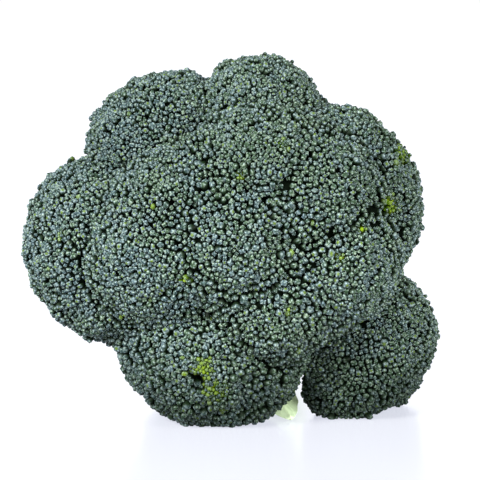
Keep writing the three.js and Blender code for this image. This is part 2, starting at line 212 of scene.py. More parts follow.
# Patches of small lime buds, as x, z, radius and the share of lime ones in the middle.
LIME_PATCHES = [
    (-12.4, 23.4, 4.6, 1.0),
    (-8.2, 15.2, 4.4, 0.4),
    (58.9, 97.8, 3.4, 0.8),
    (53.6, 79.9, 3.2, 0.8),
    (42.9, 72.8, 1.6, 0.6),
    (34.9, 62.8, 1.8, 0.6),
    (-64.5, 69.5, 1.6, 0.6),
    (-19.3, 55.4, 2.0, 0.35),
    (17.6, 45.3, 1.8, 0.35),
    (15.0, 103.0, 2.0, 0.4),
    (0.0, 91.9, 1.6, 0.35),
]
LIME_BACK = 14.0  # the y that the patches end at
LIME_SHARE = 0.0025  # of lime buds elsewhere
FINE = 0.6  # how wide a patch's buds are beside the others
FINE_FROM = 0.3  # the nearness to a patch's middle from which they are fine


def unit(v):
    """v over its own length, along the last axis."""
    v = np.asarray(v, float)
    return v / np.linalg.norm(v, axis=-1, keepdims=True)


def chance(n, seed):
    """A repeatable number from 0 to 1: the fraction of 43758.5 sin(12.99 n + 78.23 seed)."""
    s = np.sin(n * 12.9898 + seed * 78.233) * 43758.5453
    return s - np.floor(s)


def directions(radius, pitch, stray, seed):
    """Unit directions a pitch apart on a sphere: the golden spiral, each then strayed a little.

    The stray is the most that each coordinate moves by, in pitches.
    """
    count = round(2 * TURN * radius**2 / (HEXAGON * pitch**2))
    i = np.arange(count)
    z = 1 - (2 * i + 1) / count
    ring = np.sqrt(1 - z * z)
    a = i * GOLDEN_ANGLE + seed
    d = np.stack([ring * np.cos(a), ring * np.sin(a), z], axis=1)
    move = np.stack([chance(i, seed + k) - 0.5 for k in (1, 2, 3)], axis=1)
    return unit(d + move * 2 * stray * pitch / radius)


def smooth_step(x, low, high):
    """0 below low, 1 above high, and 3t^2 - 2t^3 between."""
    t = np.clip((x - low) / (high - low), 0, 1)
    return t * t * (3 - 2 * t)


class Path:
    """A smooth line through points, read by its share of the length.

    It is a centripetal Catmull-Rom spline: between two points a cubic, whose slope at each one
    is a mean of the slopes beside it, weighted by the square roots of the distances.
    """

    def __init__(self, points, divisions=200):
        p = np.asarray(points, float)
        if len(p) == 2:
            p = np.array([p[0], (p[0] + p[1]) / 2, p[1]])
        p = np.concatenate([[2 * p[0] - p[1]], p, [2 * p[-1] - p[-2]]])
        step = np.linalg.norm(np.diff(p, axis=0), axis=1) ** 0.5
        pieces = []
        t = np.linspace(0, 1, divisions)[:, None]
        for i in range(1, len(p) - 2):
            before, here, after = step[i - 1 : i + 2]
            out = (p[i] - p[i - 1]) / before - (p[i + 1] - p[i - 1]) / (before + here)
            out = (out + (p[i + 1] - p[i]) / here) * here
            into = (p[i + 1] - p[i]) / here - (p[i + 2] - p[i]) / (here + after)
            into = (into + (p[i + 2] - p[i + 1]) / after) * here
            rise = p[i + 1] - p[i]
            pieces.append(
                p[i] + t * out + t**2 * (3 * rise - 2 * out - into) + t**3 * (out + into - 2 * rise)
            )
        self.points = np.concatenate(pieces)
        reach = np.cumsum(np.linalg.norm(np.diff(self.points, axis=0), axis=1))
        self.share = np.concatenate([[0], reach / reach[-1]])

    def at(self, u):
        """The point at each share u of the length."""
        u = np.asarray(u, float)
        return np.stack([np.interp(u, self.share, axis) for axis in self.points.T], axis=-1)

    def tangent(self, u):
        """The unit direction at each share u, from points a little before and after it."""
        u = np.asarray(u, float)
        return unit(self.at(np.clip(u + 0.01, 0, 1)) - self.at(np.clip(u - 0.01, 0, 1)))


stalk_path = Path(STALK_LINE)


class Dome:
    """One rounded head of buds: a sphere cut by its underside, the ground and its neighbours.

    Its axis points from its branch's root out and to the front. Its buds stand in bunches, and
    the bunches in clusters.
    """

    def __init__(self, floret, melt, sphere, root, seed):
        self.floret = floret
        self.melt = melt
        self.centre = np.array(sphere[:3], float)
        self.r = float(sphere[3])
        out = unit(self.centre - root)
        self.axis = unit(out + LEAN * np.array([0, -1, 0]))
        self.seed = seed
        self.clusters = directions(self.r, CLUSTER_PITCH, CLUSTER_STRAY, seed * 3.1)
        self.groups = directions(self.r, GROUP_PITCH, GROUP_STRAY, seed)

    def find_planes(self, domes):
        """The planes between the dome and its neighbours, as arrays with a row for each.

        The seam of two spheres r and s, d apart, is (d^2 + r^2 - s^2) / 2d from the first. The
        flesh reaches a little past a seam in its own floret and stops short of any other.
        """
        normals, reaches, seams, own, creases = [], [], [], [], []
        others = [other for other in domes if other is not self]
        self.others = np.array([o.centre for o in others])
        self.other_radii = np.array([o.r for o in others])
        self.melts = np.array(
            [MELT if o.floret == self.floret else min(o.melt, self.melt) for o in others]
        )
        for other, melt in zip(others, self.melts):
            normal = other.centre - self.centre
            d = np.linalg.norm(normal)
            seam = (d * d + self.r**2 - other.r**2) / (2 * d)
            if seam > self.r * FAR_SEAM:
                continue
            same = other.floret == self.floret
            normals.append(normal / d)
            seams.append(seam)
            reaches.append(max(seam + SEAM_OVERLAP, LEAST_REACH) if same else seam - FLORET_GAP / 2)
            own.append(same)
            creases.append(CREASE_DROP * (1 - melt / MELT))
        self.normals = np.array(normals)
        self.reaches = np.array(reaches)
        self.seams = np.array(seams)
        self.own = np.array(own)
        self.creases = np.array(creases)

    def swell(self, d):
        """How far the skin rises over the sphere in direction d, near domes it grows against.

        The rise is the sum of m ln(1 + exp(-gap / m)), where gap is the way from the sphere to
        the other dome's sphere.
        """
        gap = np.linalg.norm((self.centre + self.r * d)[:, None] - self.others, axis=2)
        gap = np.clip(gap - self.other_radii, 0, None)
        return (self.melts * np.log(1 + np.exp(-gap / self.melts))).sum(1)

    def drop(self, d):
        """How far the tips lie below the sphere in direction d.

        Each cluster and each bunch is lowest at its edge, as the square of the way from its
        middle, and a crease runs along the seam with another floret.
        """
        from_cluster = np.arccos(np.clip((d @ self.clusters.T).max(1), -1, 1)) * self.r
        from_group = np.arccos(np.clip((d @ self.groups.T).max(1), -1, 1)) * self.r
        low = CLUSTER_RELIEF * np.minimum(
            CLUSTER_LOWEST, (from_cluster / (CLUSTER_PITCH / 2)) ** 2
        )
        low += GROUP_RELIEF * np.minimum(GROUP_LOWEST, (from_group / (GROUP_PITCH / 2)) ** 2)
        swell = self.swell(d)
        reach = (self.r + swell)[:, None]
        away = np.clip(self.seams - reach * (d @ self.normals.T), 0, None)
        crease = self.creases * np.exp(-((away / CREASE_WIDTH) ** 2))
        return low + crease.max(1) + self.hollow(self.centre + reach * d) - swell

    def hollow(self, points):
        """How deep the hollows are at points on the front of the dome.

        Each is its depth times exp(-d^2 / r^2), seen from the front.
        """
        x, y, z = points.T
        low = np.zeros(len(points))
        for at_x, at_z, radius, depth in HOLLOWS:
            apart = (x - at_x) ** 2 + (z - at_z) ** 2
            low += depth * np.exp(-apart / radius**2) * (y < self.centre[1])
        return low


def build_domes():
    """The domes of all florets, in the order of the table, with their bounding planes."""
    domes = []
    for name, floret in FLORETS.items():
        root = stalk_path.at(floret.fork)
        for sphere in floret.domes:
            domes.append(Dome(name, floret.melt, sphere, root, len(domes) + 1))
    for dome in domes:
        dome.find_planes(domes)
    return domes


domes = build_domes()


def domes_of(name):
    """The domes of one floret."""
    return [dome for dome in domes if dome.floret == name]


# ---- meshes -------------------------------------------------------------------------------
def write_piece(name, points, faces, materials, layers, node, which=None):
    """A smooth mesh of triangles from whole arrays, on the root, in place of a CAD node.

    The layers are its attributes, three numbers to a point. which is each triangle's material.
    """
    mesh = bpy.data.meshes.new(name)
    mesh.vertices.add(len(points))
    placed = points + CROWN_TO_FRAME
    placed[:, 2] = np.maximum(placed[:, 2], 0)
    mesh.vertices.foreach_set("co", (placed * MM).astype(np.float32).ravel())
    mesh.loops.add(faces.size)
    mesh.loops.foreach_set("vertex_index", faces.astype(np.int32).ravel())
    mesh.polygons.add(len(faces))
    mesh.polygons.foreach_set("loop_start", np.arange(0, faces.size, 3, dtype=np.int32))
    mesh.update(calc_edges=True)
    mesh.polygons.foreach_set("use_smooth", np.ones(len(faces), bool))
    for layer, values in layers.items():
        made = mesh.attributes.new(layer, "FLOAT_VECTOR", "POINT")
        made.data.foreach_set("vector", values.astype(np.float32).ravel())
    for material in materials:
        mesh.materials.append(material)
    if which is not None:
        mesh.polygons.foreach_set("material_index", which.astype(np.int32))
    piece = bpy.data.objects.new(name, mesh)
    bpy.context.scene.collection.objects.link(piece)
    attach(piece, "root")
    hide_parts(node)
    return piece


def grid_faces(rows, columns):
    """Triangles of a grid that closes round its columns, with a pole before and after its rows.

    The grid's vertices come first, row by row, then the first pole and the last pole.
    """
    r, c = np.meshgrid(np.arange(rows - 1), np.arange(columns), indexing="ij")
    a, b = r * columns + c, r * columns + (c + 1) % columns
    quads = np.stack([a, b, b + columns, a, b + columns, a + columns], axis=-1).reshape(-1, 3)
    k = np.arange(columns)
    first, last = rows * columns, rows * columns + 1
    end = (rows - 1) * columns
    start_cap = np.stack([np.full(columns, first), (k + 1) % columns, k], axis=1)
    end_cap = np.stack([np.full(columns, last), end + k, end + (k + 1) % columns], axis=1)
    return np.concatenate([quads, start_cap, end_cap])


def join(pieces):
    """Several (points, triangles) as one."""
    starts = np.cumsum([0] + [len(points) for points, _ in pieces[:-1]])
    faces = [faces + start for (_, faces), start in zip(pieces, starts)]
    return np.concatenate([points for points, _ in pieces]), np.concatenate(faces)


def basis(axis):
    """Two unit vectors square to each axis and to each other."""
    axis = np.atleast_2d(axis)
    helper = np.where(np.abs(axis[:, 2:3]) < 0.8, [[0.0, 0.0, 1.0]], [[1.0, 0.0, 0.0]])
    across = unit(np.cross(helper, axis))
    return across, np.cross(axis, across)


# ---- buds ---------------------------------------------------------------------------------
def settle(d, widths, radius):
    """Directions pushed apart until no two buds are closer than their mean width.

    Each round moves a bud away from every neighbour that is too near, by half of what is
    lacking, along the line between them.
    """
    want = (widths[:, None] + widths[None, :]) / 2
    p = d * radius
    for _ in range(SETTLE_ROUNDS):
        gram = np.clip(p @ p.T, None, radius**2)
        distance = np.sqrt(np.maximum(2 * radius**2 - 2 * gram, 1e-9))
        np.fill_diagonal(distance, 1e9)
        push = np.clip(want - distance, 0, None) / distance / 2
        p = p + SETTLE_EASE * (push.sum(1)[:, None] * p - push @ p)
        p = unit(p) * radius
    return p / radius


def open_buds(dome, d, reach, margin):
    """True where a bud in that direction, at that distance, is on the dome's own open skin."""
    inside = d @ dome.axis > -UNDERSIDE - RIM_SPARE
    allowed = dome.seams + np.where(dome.own, OWN_SEAM_SPARE, OTHER_SEAM_SPARE) + margin
    return inside & np.all((d @ dome.normals.T) * reach[:, None] < allowed, axis=1)


def lime_glow(points):
    """How near each point is to the middle of a lime patch on the front, and its lime share.

    The first is exp(-d^2 / r^2), 1 in the middle and 0 far off.
    """
    glow = np.zeros(len(points))
    share = np.full(len(points), LIME_SHARE)
    for x, z, radius, most in LIME_PATCHES:
        apart = (points[:, 0] - x) ** 2 + (points[:, 2] - z) ** 2
        near = np.exp(-apart / radius**2) * (points[:, 1] < LIME_BACK)
        glow = np.maximum(glow, near)
        share = np.maximum(share, most * near)
    return glow, share


def place_buds(dome, width, rng):
    """The buds of a dome: their directions, their widths and which are bracts.

    In the lime patches they are FINE times as wide, and as close.
    """
    coarse = directions(dome.r, width * BUD_PITCH, BUD_STRAY, dome.seed + 0.37)
    fine = directions(dome.r, width * BUD_PITCH * FINE, BUD_STRAY, dome.seed + 0.71)
    coarse = coarse[lime_glow(dome.centre + coarse * dome.r)[0] < FINE_FROM]
    fine = fine[lime_glow(dome.centre + fine * dome.r)[0] >= FINE_FROM]
    d = np.concatenate([coarse, fine])
    widths = width * np.repeat([1, FINE], [len(coarse), len(fine)])
    keep = open_buds(dome, d, np.full(len(d), dome.r), SETTLE_SPARE)
    d, widths = d[keep], widths[keep]
    widths = widths * (1 + BUD_SPREAD * rng.uniform(-1, 1, len(d)))
    bract = rng.random(len(d)) > 1 - BRACT_SHARE
    widths = np.where(bract, widths * BRACT_WIDTH, widths)
    return settle(d, widths * BUD_CROWDING, dome.r), widths, bract


def bud_mesh(places, outs, sizes, rng):
    """Closed buds as one mesh, with how far up the bud each point is and its sepals' wave.

    A bud is three rings of eight points between a foot and a tip. At angle a round the bud the
    radius of a ring is r (1 + s cos 4a), as the four sepals have it, and cos 4a is the wave: 1
    on a sepal's ridge and -1 in the crease between two.
    """
    n, rings = len(places), len(BUD_RINGS)
    turns = rng.uniform(0, TURN, n)
    across, up = basis(outs)
    a = TURN * np.arange(BUD_SIDES) / BUD_SIDES
    wave = np.cos(SEPALS * a)
    angle = a[None, None, :] + turns[:, None, None]
    sepals = wave * rng.uniform(0, 2, (n, 1, 1)) * BUD_SEPALS[:, None]
    wobble = 1 + BUD_WOBBLE * rng.uniform(-1, 1, (n, rings, BUD_SIDES))
    radius = BUD_RINGS[None, :, 0, None] * sizes[:, 0, None, None] * (1 + sepals) * wobble
    stretch = rng.uniform(-BUD_STRETCH, BUD_STRETCH, (n, 1, 1))
    flat = radius * np.cos(angle) * (1 + stretch)
    wide = radius * np.sin(angle) * (1 - stretch)
    uneven = RING_WOBBLE * sizes[:, 1, None, None] * rng.uniform(-1, 1, wobble.shape)
    high = BUD_RINGS[None, :, 1, None] * sizes[:, 1, None, None] + uneven
    high[:, -1] += SEPAL_RISE * sizes[:, 1:] * wave
    body = (
        places[:, None, None, :]
        + flat[..., None] * across[:, None, None, :]
        + wide[..., None] * up[:, None, None, :]
        + high[..., None] * outs[:, None, None, :]
    ).reshape(n, -1, 3)
    foot = places + BUD_FOOT * sizes[:, 1:] * outs
    tip = places + BUD_TIP * sizes[:, 1:] * outs
    points = np.concatenate([body, foot[:, None], tip[:, None]], axis=1)
    faces = grid_faces(rings, BUD_SIDES)[None] + (np.arange(n) * points.shape[1])[:, None, None]
    level = np.concatenate([np.repeat(RING_LEVELS, BUD_SIDES), [0, 1]])
    ridge = np.concatenate([np.tile(wave, rings), [0, -1]])
    marks = np.tile(np.stack([level, ridge], axis=1), (n, 1))
    return points.reshape(-1, 3), faces.reshape(-1, 3), marks


# ---- florets ------------------------------------------------------------------------------
def dome_flesh(dome):
    """The flesh under a dome's buds, with its values of "bud" and "kind".

    It is a grid of directions round the dome's axis, from pole to pole. Its radius is the
    sphere less the drop and the depth of the buds, or less where a plane bounds it. Its
    underside is ribbed from the branch outwards.
    """
    theta = np.linspace(0, math.pi, FLESH_ROWS + 2)[1:-1]
    phi = TURN * np.arange(FLESH_COLUMNS) / FLESH_COLUMNS
    t, f = np.meshgrid(theta, phi, indexing="ij")
    across, up = basis(dome.axis)
    d = (
        np.cos(t)[..., None] * dome.axis
        + (np.sin(t) * np.cos(f))[..., None] * across[0]
        + (np.sin(t) * np.sin(f))[..., None] * up[0]
    ).reshape(-1, 3)
    d = np.concatenate([d, [dome.axis], [-dome.axis]])
    radius = dome.r + BUD_PROUD - dome.drop(d) - FLESH_DEPTH
    spoke = np.concatenate([f.ravel(), [0, 0]])
    (rib, ribs), (riblet, riblets) = RIBS
    rise = rib * np.abs(np.cos(ribs * spoke + dome.seed)) + riblet * np.abs(np.cos(riblets * spoke))
    back = np.maximum(-(d @ dome.axis), 1e-6)
    under = (UNDERSIDE * dome.r + rise) / back
    ground = (dome.centre[2] - FLESH_CLEARANCE) / np.maximum(-d[:, 2], 1e-6)
    limit = np.minimum(under, ground)
    along = d @ dome.normals.T
    limit = np.minimum(limit, (dome.reaches / np.maximum(along, 1e-6)).min(1))
    radius = np.minimum(radius, limit)
    is_under = ((under <= radius + 0.3) & (back > 0.3)).astype(float)
    points = dome.centre + d * radius[:, None]
    glow = lime_glow(points)[0] * (dome.hollow(points) < BARE_DEPTH)
    kind = np.stack([np.zeros_like(glow), is_under, glow], axis=1)
    faces = grid_faces(FLESH_ROWS, FLESH_COLUMNS)[:, ::-1]
    return points, faces, np.zeros_like(points), kind


def dome_buds(dome, width):
    """The buds of a dome, with their values of "bud" and "kind".

    A bud's tip lies over the sphere by BUD_PROUD, less the drop and an uneven share of its own.
    The bud leans away from the middle of its bunch and a little at random.
    """
    rng = np.random.default_rng(dome.seed)
    d, widths, bract = place_buds(dome, width, rng)
    heights = widths * rng.uniform(*BUD_HEIGHTS, len(d))
    sizes = np.stack([widths * BUD_GIRTH, heights], axis=1)
    sizes[bract, 1] *= BRACT_HEIGHT
    top = dome.r + BUD_PROUD - dome.drop(d) - BUD_UNEVEN * rng.random(len(d))
    top += STICK_OUT * (rng.random(len(d)) > 1 - STICK_OUT_SHARE)
    reach = top - BUD_TIP * sizes[:, 1]
    ground = (dome.centre[2] - BUD_CLEARANCE * sizes[:, 1]) / np.maximum(-d[:, 2], 1e-6)
    reach = np.minimum(reach, ground)
    keep = open_buds(dome, d, reach, 0.0)
    keep &= dome.hollow(dome.centre + d * dome.r) < BARE_DEPTH
    d, sizes, reach = d[keep], sizes[keep], reach[keep]
    group = dome.groups[np.argmax(d @ dome.groups.T, axis=1)]
    outs = unit(d + SPLAY * (d - group) + BUD_TILT * rng.normal(size=d.shape))
    places = dome.centre + d * reach[:, None]
    points, faces, marks = bud_mesh(places, outs, sizes, rng)
    each = len(points) // len(places)
    tone = np.repeat(rng.random(len(d)), each)
    fringe = smooth_step(-(d @ dome.axis), *FRINGE)
    glow, share = lime_glow(places)
    lime = (rng.random(len(d)) < share) * rng.uniform(LEAST_LIME, 1, len(d)) * (0.5 + 0.5 * glow)
    kind = np.repeat(np.column_stack([lime, fringe, glow]), each, axis=0)
    return points, faces, np.column_stack([marks, tone]), kind


def floret_piece(name, finishes):
    """One floret: the flesh of its domes and all their buds, in one mesh with attributes.

    "bud" holds how far up a bud the point is, its sepals' wave and the bud's own tone. "kind"
    holds how lime the bud is, how far under the floret the point is, and how near it is to the
    middle of a lime patch. The finishes are that of the buds and that of the flesh.
    """
    parts, which = [], []
    for dome in domes_of(name):
        flesh, buds = dome_flesh(dome), dome_buds(dome, FLORETS[name].bud_width)
        parts += [flesh, buds]
        which += [np.ones(len(flesh[1])), np.zeros(len(buds[1]))]
    points, faces = join([part[:2] for part in parts])
    layers = {
        "bud": np.concatenate([part[2] for part in parts]),
        "kind": np.concatenate([part[3] for part in parts]),
    }
    return write_piece(
        name + "_buds", points, faces, finishes, layers, name, np.concatenate(which)
    )


# ---- stalk --------------------------------------------------------------------------------
def limb(line, radii, sides, rows, ridge=0.0):
    """A closed tube along a line. At angle a round it the radius is r (1 + ridge cos 5a)."""
    path = Path(line)
    u = np.linspace(0, 1, rows)
    along = path.tangent(u)
    helper = np.eye(3)[np.argmin(np.abs(along).sum(0))]
    across = unit(np.cross(helper, along))
    up = np.cross(along, across)
    r = np.interp(u, np.linspace(0, 1, len(radii)), radii)[:, None]
    a = TURN * np.arange(sides) / sides
    r = r * (1 + ridge * np.cos(RIDGES * a))
    ring = (r * np.cos(a))[..., None] * across[:, None] + (r * np.sin(a))[..., None] * up[:, None]
    points = (path.at(u)[:, None] + ring).reshape(-1, 3)
    return np.concatenate([points, path.at([0, 1])]), grid_faces(rows, sides)


def branch_line(start, dome, ahead):
    """The line of a branch from its start to a dome, bent in its middle towards ahead."""
    end = dome.centre - ROOT_DEPTH * dome.r * dome.axis
    bend = FORWARD_BEND * np.linalg.norm(end - start)
    return [start, (start + end) / 2 + bend * ahead, end]


def pedicels(start, dome, rng):
    """Thin stems that fan out from a point into the underside of a dome, as an umbrella's ribs.

    Their ends follow a sunflower's spiral over the underside.
    """
    across, up = basis(dome.axis)
    made = []
    for k in range(PEDICELS):
        out = PEDICEL_SPREAD * dome.r * math.sqrt((k + 0.7) / PEDICELS)
        a = k * GOLDEN_ANGLE + dome.seed
        flat = np.cos(a) * across[0] + np.sin(a) * up[0]
        end = dome.centre - ROOT_DEPTH * dome.r * dome.axis + out * flat
        back = dome.axis + PEDICEL_STRAY * rng.normal(size=3)
        middle = (start + end) / 2 - PEDICEL_BEND * np.linalg.norm(end - start) * back
        made.append(limb([start, middle, end], PEDICEL_RADII, 8, 10))
    return made


def stump(place, degrees, radius, length):
    """What is left of a trimmed leaf's stem: a short tapered limb that leans to the cut end."""
    start = stalk_path.at(place)
    along = stalk_path.tangent(place)
    out = unit(np.array([0, 0, 1]) - along[2] * along)
    side = np.cross(along, out)
    turn = math.radians(degrees)
    out = math.cos(turn) * out + math.sin(turn) * side
    end = start + (STALK_RADII[2] + length) * out - length * along
    return limb([start, end], radius * STUMP_TAPER, 24, 12)


def stalk_limbs():
    """Every tube of the stalk: the trunk, the stumps, the branches and their pedicels."""
    rng = np.random.default_rng(STALK_SEED)
    tip = np.array(STALK_LINE[-1]) + CUT_SPARE * stalk_path.tangent(1.0)
    made = [limb(STALK_LINE + [tuple(tip)], STALK_RADII + [STALK_RADII[-1]], 90, 90, RIDGE_HEIGHT)]
    made += [stump(*values) for values in STUMPS]
    for name, floret in FLORETS.items():
        first, *others = domes_of(name)
        line = branch_line(stalk_path.at(floret.fork), first, -stalk_path.tangent(floret.fork))
        made.append(limb(line, floret.branch * BRANCH_TAPER, 24, 24))
        split = Path(line).at(SPLIT)
        for dome in others:
            own = branch_line(split, dome, dome.axis)
            made.append(limb(own, floret.branch * BRANCHLET_TAPER, 20, 20))
        if floret.fork > HIDDEN_FORK:
            for dome in domes_of(name):
                made += pedicels(split, dome, rng)
    return made


def melt_together(points, faces):
    """Overlapping closed tubes as one skin: remeshed in small cubes and then smoothed."""
    mesh = bpy.data.meshes.new("rough_stalk")
    mesh.from_pydata(points * MM, [], faces.tolist())
    rough = bpy.data.objects.new("rough_stalk", mesh)
    bpy.context.scene.collection.objects.link(rough)
    remesh = rough.modifiers.new("cubes", "REMESH")
    remesh.mode = "VOXEL"
    remesh.voxel_size = STALK_CUBE * MM
    soften = rough.modifiers.new("soften", "SMOOTH")
    soften.factor = 0.5
    soften.iterations = STALK_SMOOTHING
    rough.modifiers.new("triangles", "TRIANGULATE")
    ready = rough.evaluated_get(bpy.context.evaluated_depsgraph_get())
    skin = ready.to_mesh()
    where = np.empty(len(skin.vertices) * 3, np.float32)
    skin.vertices.foreach_get("co", where)
    corners = np.empty(len(skin.polygons) * 3, np.int32)
    skin.loops.foreach_get("vertex_index", corners)
    ready.to_mesh_clear()
    bpy.data.objects.remove(rough)
    bpy.data.meshes.remove(mesh)
    return where.reshape(-1, 3) / MM, corners.reshape(-1, 3)


def grain_of(points):
    """Each point with its part along the nearest limb shrunk, so that noise there is streaky.

    The direction is a mean over points on the trunk and branches, weighted by exp(-d / 2 mm).
    """
    at, along = [], []
    lines = [STALK_LINE]
    for name, floret in FLORETS.items():
        ahead = -stalk_path.tangent(floret.fork)
        lines.append(branch_line(stalk_path.at(floret.fork), domes_of(name)[0], ahead))
    for line in lines:
        path = Path(line)
        u = np.linspace(0.02, 0.98, 16)
        at.append(path.at(u))
        along.append(path.tangent(u))
    at, along = np.concatenate(at), np.concatenate(along)
    away = np.linalg.norm(points[:, None] - at, axis=2)
    weight = np.exp(-(away - away.min(1, keepdims=True)) / 2)
    direction = unit(weight @ along)
    return points - GRAIN_SHRINK * (points * direction).sum(1, keepdims=True) * direction


def stalk_piece(finish):
    """The stalk with a flat cut end, its branches and pedicels, as one skin with attributes.

    "grain" is the streaky place. "skin" holds 1 on the cut face, the share of the way out from
    the stalk's middle to its skin, and how near the florets the point is. The cut face is
    dished by CUT_DISH (1 - share^2).
    """
    points, faces = melt_together(*join(stalk_limbs()))
    end, along = np.array(STALK_LINE[-1], float), stalk_path.tangent(1.0)
    past = (points - end) @ along
    cut = smooth_step(past, *CUT_EDGE)
    points = points - np.maximum(past, 0)[:, None] * along
    from_middle = points - end
    from_middle = from_middle - (from_middle @ along)[:, None] * along
    share = np.linalg.norm(from_middle, axis=1) / STALK_RADII[-1]
    dish = CUT_DISH * cut * np.clip(1 - share**2, 0, 1)
    points = points - dish[:, None] * along
    bases = np.array([dome.centre - UNDERSIDE * dome.r * dome.axis for dome in domes])
    near = np.linalg.norm(points[:, None] - bases, axis=2).min(1)
    skin = np.stack([cut, share, 1 - smooth_step(near, *YOUNG_SKIN_REACH)], axis=1)
    layers = {"grain": grain_of(points) * MM, "skin": skin}
    return write_piece("branching_stalk", points, faces, [finish], layers, "stalk")


# ---- leaf ---------------------------------------------------------------------------------
def leaf_piece(finish):
    """A small cupped leaf, a closed grid of two skins, with a midrib, side veins and wavy edges.

    A cross-section is an oval: at angle a round it a point lies s = cos a half widths from the
    midrib and sin a half thicknesses off the middle. The leaf cups as s^2 and frills as s^4
    times a wave along it. A side vein is where the way along in vein spacings, less the slant
    times |s|, is a whole number. "vein" holds s, the way along from 0 to 1 and 1 on a vein.
    """
    path = Path(LEAF_LINE)
    along = path.tangent(np.linspace(0, 1, LEAF_ROWS))
    across = unit(np.array([1, 0, 0]) - along[:, :1] * along)
    normal = np.cross(across, along)
    u = np.linspace(0, 1, LEAF_ROWS)[:, None]
    k = np.linspace(0, 1, len(LEAF_HALF_WIDTHS))
    half = np.polyval(np.polyfit(k, LEAF_HALF_WIDTHS, 3), u)
    a = TURN * np.arange(LEAF_COLUMNS) / LEAF_COLUMNS
    side = np.cos(a) + 0 * half
    thick = 0.5 * LEAF_THICK * (1 - EDGE_THINNING * side**2)
    midrib = np.exp(-((side * half / MIDRIB_WIDTH) ** 2))
    slant = SIDE_VEINS * u - VEIN_SLANT * np.abs(side)
    side_vein = np.exp(-((np.abs(slant - np.round(slant)) / VEIN_WIDTH) ** 2)) * (1 - side**4)
    vein = np.maximum(midrib, VEIN_STRENGTH * side_vein * (half > VEIN_ROOM))
    rise = np.where(np.sin(a) < 0, VEIN_RISE, -VEIN_GROOVE) * vein
    frill = LEAF_FRILL * side**4 * np.sin(FRILL_WAVES * u + 2.5 * side) * np.sin(math.pi * u)
    cup = LEAF_CUP * side**2 * np.sin(math.pi * u)
    lift = (thick + rise) * np.sin(a) + cup + frill
    ragged = 1 + RAGGED_EDGE * np.abs(side) * np.sin(RAGGED_WAVES * u + side)
    points = path.at(u[:, 0])[:, None] + (side * half * ragged)[..., None] * across[:, None]
    points = (points + lift[..., None] * normal[:, None]).reshape(-1, 3)
    points = np.concatenate([points, path.at([0, 1])])
    values = np.stack([side, u + 0 * side, vein], axis=2).reshape(-1, 3)
    layers = {"vein": np.concatenate([values, [[0, 0, 0], [0, 1, 0]]])}
    faces = grid_faces(LEAF_ROWS, LEAF_COLUMNS)
    return write_piece("small_leaf", points, faces, [finish], layers, "leaf")


# ---- shader tools -------------------------------------------------------------------------
class Value:
    """A number that varies over a surface: operators on it add Math nodes."""

    def __init__(self, finish, socket):
        self.finish = finish
        self.socket = socket

    def _math(self, operation, *terms):
        return self.finish.node("ShaderNodeMath", {"operation": operation}, dict(enumerate(terms)))

    def __add__(self, other):
        return self._math("ADD", self, other)

    __radd__ = __add__

    def __sub__(self, other):
        return self._math("SUBTRACT", self, other)

    def __rsub__(self, other):
        return self._math("SUBTRACT", other, self)

    def __mul__(self, other):
        return self._math("MULTIPLY", self, other)

    __rmul__ = __mul__

    def step(self, low, high, start=0.0, end=1.0):
        """start below low and end above high, smooth between."""
        return self.finish.node(
            "ShaderNodeMapRange",
            {"interpolation_type": "SMOOTHSTEP"},
            {"Value": self, "From Min": low, "From Max": high, "To Min": start, "To Max": end},
        )


class Finish:
    """A material made of nodes."""

    def __init__(self, name):
        self.material = bpy.data.materials.new(name)
        self.material.use_nodes = True
        self.tree = self.material.node_tree
        self.shader = self.tree.nodes["Principled BSDF"]

    def node(self, kind, settings=None, values=None, out=0):
        """A node of that type: its settings, then its sockets' values or links. One output."""
        made = self.tree.nodes.new(kind)
        for key, value in (settings or {}).items():
            setattr(made, key, value)
        for key, value in (values or {}).items():
            self.put(made.inputs[key], value)
        return Value(self, made.outputs[out])

    def put(self, socket, value):
        """Links a Value to a socket, or sets the socket to a constant."""
        if isinstance(value, Value):
            self.tree.links.new(value.socket, socket)
        elif isinstance(value, tuple) and len(value) == 3 and socket.type == "RGBA":
            socket.default_value = (*value, 1.0)
        else:
            socket.default_value = value

    def mix(self, low, high, factor):
        """The colour low where factor is 0 and high where it is 1."""
        return self.node(
            "ShaderNodeMix", {"data_type": "RGBA"}, {0: factor, 6: low, 7: high}, out=2
        )

    def vector(self, attribute):
        """A vector attribute."""
        return self.node("ShaderNodeAttribute", {"attribute_name": attribute}, out=1)

    def parts(self, vector):
        """The three numbers of a vector."""
        split = self.tree.nodes.new("ShaderNodeSeparateXYZ")
        self.put(split.inputs[0], vector)
        return [Value(self, number) for number in split.outputs]

    def place(self):
        """The point on the object, in metres."""
        return self.node("ShaderNodeTexCoord", out=3)

    def noise(self, place, scale, detail=2.0, roughness=0.5):
        """Soft noise from 0 to 1, that many blobs to the metre."""
        return self.node(
            "ShaderNodeTexNoise",
            None,
            {"Vector": place, "Scale": scale, "Detail": detail, "Roughness": roughness},
        )

    def bump(self, height, strength, distance):
        """A normal leaned by a height from 0 to 1 that stands for 0 to distance, in metres."""
        return self.node(
            "ShaderNodeBump", None, {"Strength": strength, "Distance": distance, "Height": height}
        )

    def finish(self, **sockets):
        """Sets the shader's sockets, spaces in their names given as underscores."""
        for name, value in sockets.items():
            self.put(self.shader.inputs[name.replace("_", " ")], value)
        return self.material


# ---- colours ------------------------------------------------------------------------------
def srgb(r, g, b):
    """A colour given as it looks on a screen, 0 to 255, as the shader's linear numbers."""
    c = np.array([r, g, b]) / 255
    return tuple(float(v) for v in np.where(c <= 0.04045, c / 12.92, ((c + 0.055) / 1.055) ** 2.4))


